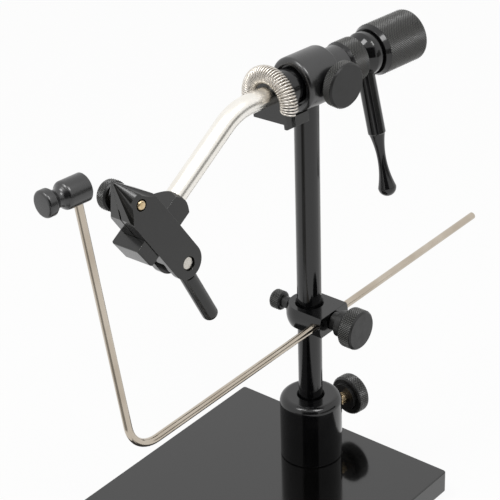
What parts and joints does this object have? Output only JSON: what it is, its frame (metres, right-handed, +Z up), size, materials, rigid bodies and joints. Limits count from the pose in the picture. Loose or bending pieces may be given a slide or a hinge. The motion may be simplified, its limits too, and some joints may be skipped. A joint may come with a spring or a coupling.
{
  "type": "fly tying vise",
  "caption": "Rotary fly tying vise on a flat pedestal base, with cam lever jaws, bent shaft, material spring, crank and bobbin cradle.",
  "frame": {"origin": "on the floor under the feet, in the middle of the whole object's outline", "axes": "+Z up along the stem, -Y to the front where the jaws and the cradle are, +X to the near side where the lock knobs are"},
  "size_m": [0.1084, 0.2581, 0.2043],
  "materials": {
    "black_coat": "smooth gloss black coat on steel",
    "black_steel": "satin black oxide on steel",
    "black_anodised": "satin black anodised, knurled on the grips",
    "polished_steel": "polished stainless bar",
    "spring_steel": "bright nickel plated spring wire",
    "screw_steel": "black oxide screw steel",
    "brass": "plain turned brass",
    "bronze": "plain bearing bronze",
    "rubber": "matte black rubber",
    "nylon": "natural white nylon"
  },
  "bodies": {
    "base": {"base_plate": "black_coat", "rubber_feet": "rubber", "socket_bolt": "screw_steel", "stem_socket": "black_steel"},
    "socket_lock": {"socket_lock_screw": "brass", "socket_lock_knob": "black_anodised"},
    "stem": {"stem": "black_steel"},
    "cradle_block": {"cradle_block": "black_anodised"},
    "block_clamp": {"stem_thumbscrew": "black_anodised"},
    "rod_lock": {"rod_lock_screw": "screw_steel", "rod_lock_knob": "black_anodised"},
    "cradle_rod": {"cradle_rod": "polished_steel", "bobbin_rest": "black_anodised", "rest_set_screw": "screw_steel"},
    "head": {"head_housing": "black_anodised", "head_set_screw": "screw_steel", "front_bushing": "black_anodised", "rear_bushing": "bronze"},
    "head_lock": {"head_lock_screw": "screw_steel", "head_lock_knob": "black_anodised"},
    "drag_ring": {"drag_ring": "black_anodised", "drag_washer": "nylon"},
    "rotary": {"rotary_shaft": "polished_steel", "thrust_collar": "black_anodised", "spring_holder": "black_anodised", "material_spring": "spring_steel", "crank_hub": "black_anodised", "crank_handle": "black_anodised", "rear_knob": "black_anodised", "shaft_set_screws": "screw_steel", "jaw_mount": "black_steel", "far_jaw_screw": "screw_steel", "far_jaw": "black_steel", "adjusting_screw": "brass", "jaw_spring": "spring_steel", "lever_pin": "polished_steel"},
    "jaw_adjuster": {"adjusting_wheel": "black_anodised"},
    "near_jaw": {"near_jaw": "black_steel"},
    "cam_lever": {"cam_lever": "black_steel"}
  },
  "joints": [
    {"name": "socket_lock_turn", "type": "hinge", "parent": "base", "child": "socket_lock", "pos_m": [0, 0.02265, 0.03053], "axis": [0.1478, 0.989, 0], "range_deg": [0, 360]},
    {"name": "stem_slide", "type": "slide", "parent": "base", "child": "stem", "axis": [0, 0, 1], "range_m": [0, 0.012]},
    {"name": "cradle_swing", "type": "hinge", "parent": "stem", "child": "cradle_block", "pos_m": [0, 0.02265, 0.08199], "axis": [0, 0, 1], "continuous": true},
    {"name": "block_clamp_turn", "type": "hinge", "parent": "cradle_block", "child": "block_clamp", "pos_m": [0, 0.02265, 0.08199], "axis": [-1, 0, 0], "range_deg": [0, 360]},
    {"name": "rod_lock_turn", "type": "hinge", "parent": "cradle_block", "child": "rod_lock", "pos_m": [0, 0.02265, 0.08199], "axis": [1, 0, 0], "range_deg": [0, 360]},
    {"name": "rod_slide", "type": "slide", "parent": "cradle_block", "child": "cradle_rod", "axis": [0, -1, 0], "range_m": [-0.045, 0.08]},
    {"name": "head_swivel", "type": "hinge", "parent": "stem", "child": "head", "pos_m": [0, 0.02265, 0.18563], "axis": [0, 0, 1], "continuous": true},
    {"name": "head_lock_turn", "type": "hinge", "parent": "head", "child": "head_lock", "pos_m": [0.00075, 0.0285, 0.18563], "axis": [0.9919, -0.1271, 0], "range_deg": [0, 360]},
    {"name": "drag_turn", "type": "hinge", "parent": "head", "child": "drag_ring", "pos_m": [0, 0.02265, 0.18563], "axis": [0.1271, 0.9919, 0], "range_deg": [-90, 270]},
    {"name": "rotary_spin", "type": "hinge", "parent": "head", "child": "rotary", "pos_m": [0, 0.02265, 0.18563], "axis": [0.1271, 0.9919, 0], "continuous": true},
    {"name": "adjuster_turn", "type": "hinge", "parent": "rotary", "child": "jaw_adjuster", "pos_m": [-0.00983, -0.06871, 0.16927], "axis": [-0.9855, 0.1262, -0.1132], "range_deg": [-360, 360]},
    {"name": "cam_turn", "type": "hinge", "parent": "rotary", "child": "cam_lever", "pos_m": [-0.0041, -0.05116, 0.139], "axis": [0.9855, -0.1262, 0.1132], "range_deg": [0, 90]},
    {"name": "jaw_rock", "type": "hinge", "parent": "rotary", "child": "near_jaw", "pos_m": [-0.00983, -0.06871, 0.16927], "axis": [0.05, 0.8541, 0.5177], "range_deg": [0, 1.4]}
  ],
  "couplings": [
    {"joint": "jaw_rock", "follows": "cam_turn", "ratio": 0.015}
  ]
}
